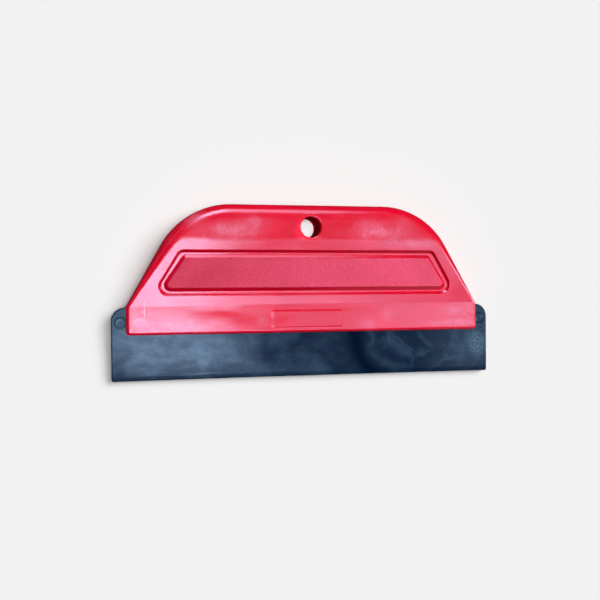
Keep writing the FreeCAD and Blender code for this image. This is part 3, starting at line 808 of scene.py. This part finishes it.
# -------------------------------------------------------------------- floor
def floor():
    me = bpy.data.meshes.new("floor")
    s = 6.0
    me.from_pydata([(-s, -s, 0), (s, -s, 0), (s, s, 0), (-s, s, 0)], [], [(0, 1, 2, 3)])
    ob = bpy.data.objects.new("floor", me)
    bpy.context.scene.collection.objects.link(ob)
    N = Nodes("pale_floor")
    N.put(N.b.inputs["Base Color"], (0.81, 0.81, 0.81))
    N.b.inputs["Roughness"].default_value = 0.9
    N.b.inputs["Specular IOR Level"].default_value = 0.0
    me.materials.append(N.mat)
    # the object stands in a dark surround: the floor does not show in its gloss
    ob.visible_glossy = False
    return ob


floor()

# -------------------------------------------------------------------- camera
CAM = np.array([-109.28, 20.20, 428.042])
AXES = np.array([[0.97111233, -0.00841323, 0.23847444], [0.01003329, 0.99993409, -0.00558039], [-0.23841177, 0.00781187, 0.97113274]])
cam_data = bpy.data.cameras.new("camera")
cam = bpy.data.objects.new("camera", cam_data)
bpy.context.scene.collection.objects.link(cam)
R = Matrix([dir_world(a) for a in AXES]).transposed()
cam.matrix_world = Matrix.Translation(Vector(to_world(CAM))) @ R.to_4x4()
cam_data.sensor_width = 36.0
cam_data.lens = 36.0 * 850.0 / 600.0
cam_data.clip_start, cam_data.clip_end = 0.01, 20.0
bpy.context.scene.camera = cam

# -------------------------------------------------------------------- lights
def softbox(name, pos, target, size, power, color=(1, 1, 1)):
    """pos and target in tool-frame mm."""
    l = bpy.data.lights.new(name, "AREA")
    l.shape = "RECTANGLE"
    l.size, l.size_y = size[0] / 1000.0, size[1] / 1000.0
    l.energy = power
    l.color = color
    o = bpy.data.objects.new(name, l)
    bpy.context.scene.collection.objects.link(o)
    p, t = Vector(to_world(pos)), Vector(to_world(target))
    o.location = p
    o.rotation_mode = "QUATERNION"
    o.rotation_quaternion = (t - p).to_track_quat("-Z", "Y")
    # the boxes only show in the gloss; the two broad lights below carry the shading
    o.visible_diffuse = False
    return o


def broad(name, towards, strength, angle, color=(1, 1, 1)):
    """An even light from the direction given, soft over angle degrees."""
    l = bpy.data.lights.new(name, "SUN")
    l.energy, l.angle, l.color = strength, math.radians(angle), color
    o = bpy.data.objects.new(name, l)
    bpy.context.scene.collection.objects.link(o)
    o.rotation_mode = "QUATERNION"
    o.rotation_quaternion = Vector((-towards[0], -towards[1], -towards[2])).to_track_quat("-Z", "Y")
    o.visible_glossy = False
    return o


LILAC = (0.52, 0.67, 1.0)
# a broad key from the upper right, and cool window light near the camera and behind the grip
broad("key", (0.58, 0.30, 0.77), 2.60, 46.0)
broad("overhead", (-0.10, -0.05, 1.0), 1.47, 40.0)
for name, at, size, power in (("window_near", (-45, -95), (180, 210), 1.90), ("window_wide", (135, -150), (200, 110), 0.50),
                              ("window_far", (305, -110), (140, 120), 0.15), ("window_low", (290, -20), (140, 100), 0.21),
                              ("window_mid", (170, -10), (120, 60), 0.075), ("window_right", (375, -10), (110, 90), 0.31),
                              ("window_top", (120, 105), (420, 70), 0.035)):
    softbox(name, (at[0], at[1], 600), (at[0], at[1], 0), size, power, LILAC)
softbox("window_back", (-75, 540, 385), (-40, 60, 6), (210, 250), 2.7, LILAC)
softbox("back_right", (120, 540, 385), (20, 60, 6), (170, 250), 0.80, LILAC)
softbox("side_strip", (760, 90, 420), (60, 30, 0), (150, 420), 3.4, LILAC)
# large cards low in the room, for the gloss seen from the sides
softbox("card_back_left", (-1250, 1150, 640), (0, 0, 0), (1500, 460), 1.5, (0.80, 0.88, 1.0))
softbox("card_front_right", (1150, -1350, 470), (0, 0, 0), (1500, 460), 2.2, (0.85, 0.91, 1.0))

# a snooted lamp straight down the hanging hole, so that the floor shows through it
spot = bpy.data.lights.new("hole_lamp", "SPOT")
spot.energy, spot.spot_size, spot.spot_blend, spot.shadow_soft_size = 5.6, math.radians(1.6), 0.45, 0.002
spot.color = (0.88, 1.0, 1.0)
spot_ob = bpy.data.objects.new("hole_lamp", spot)
bpy.context.scene.collection.objects.link(spot_ob)
sp = Vector(to_world((-106.0, 24.0, 424.0)))
spot_ob.location = sp
spot_ob.rotation_mode = "QUATERNION"
spot_ob.rotation_quaternion = (Vector(to_world((1.2, HOLE_Y, -8.0))) - sp).to_track_quat("-Z", "Y")
spot_ob.visible_glossy = False

world = bpy.data.worlds.new("studio")
bpy.context.scene.world = world
world.use_nodes = True
bg = world.node_tree.nodes["Background"]
bg.inputs["Color"].default_value = (1.0, 1.0, 1.0, 1.0)
bg.inputs["Strength"].default_value = 0.88
# a pale backdrop that neither lights the object nor shows in its gloss
world.cycles_visibility.glossy = False
world.cycles_visibility.diffuse = False

sc = bpy.context.scene
sc.view_settings.view_transform = "Standard"
sc.view_settings.look = "None"
sc.view_settings.exposure = 0.0
sc.view_settings.gamma = 1.0
